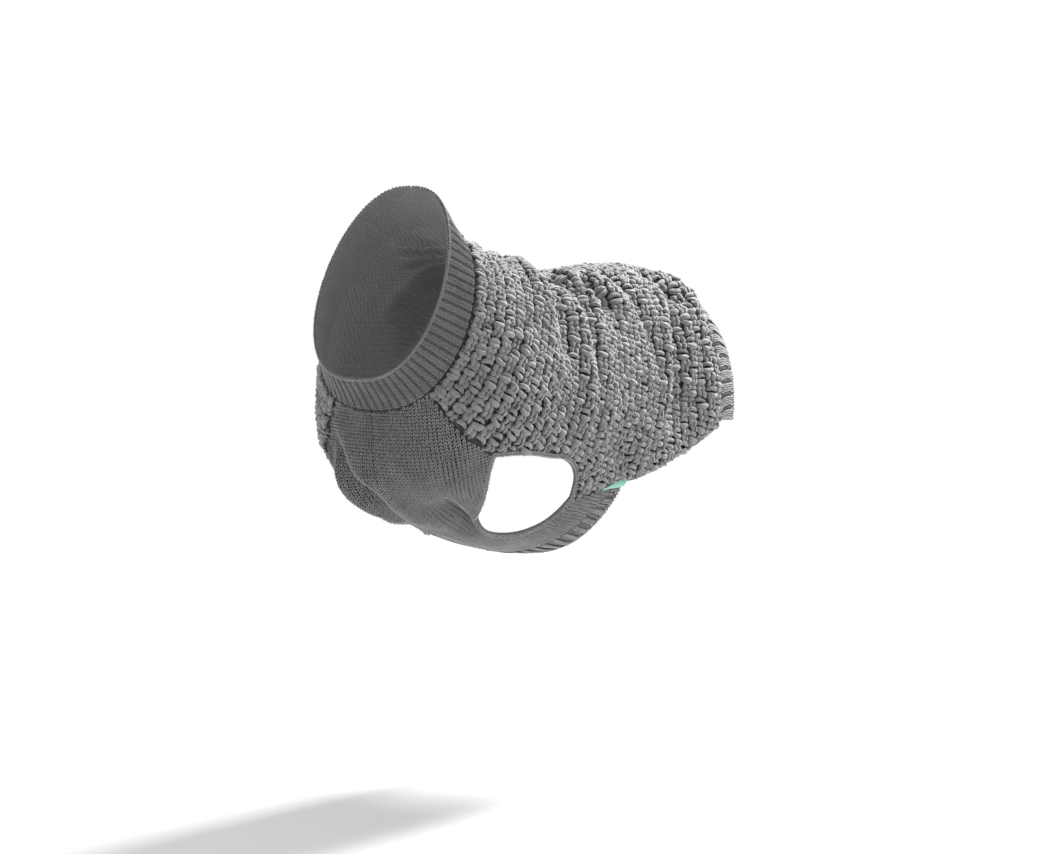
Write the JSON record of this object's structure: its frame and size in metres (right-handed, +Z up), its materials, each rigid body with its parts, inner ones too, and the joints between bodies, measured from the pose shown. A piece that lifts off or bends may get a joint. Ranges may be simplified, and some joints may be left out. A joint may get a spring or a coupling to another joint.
{
  "type": "dog sweater",
  "caption": "Sleeveless knitted dog sweater in its worn, hollow form: ribbed round collar, chunky back, fine chest panel, two leg holes, ribbed rump and belly hems.",
  "frame": {"origin": "inside face of the back panel at the withers, on the spine line, where the sweater hangs on the wearer's back", "axes": "+Z up, -Y towards the neck, +X towards the wearer's left side"},
  "size_m": [0.1804, 0.4165, 0.2955],
  "materials": {
    "chunky_knit": "soft, matt, thick mid-grey melange yarn in seed stitch",
    "plain_knit": "soft, matt, fine mid-grey melange yarn in plain knit",
    "ribbed_knit": "soft, matt, mid-grey melange yarn in rib",
    "label_cloth": "smooth woven tape, plain mint green"
  },
  "bodies": {
    "root": {"collar": "ribbed_knit", "back_panel": "chunky_knit", "chest_panel": "plain_knit", "rump_hem": "ribbed_knit", "belly_hem": "ribbed_knit", "armhole_band_left": "plain_knit", "armhole_band_right": "plain_knit", "side_edge_left": "plain_knit", "side_edge_right": "plain_knit", "label": "label_cloth"}
  },
  "joints": []
}
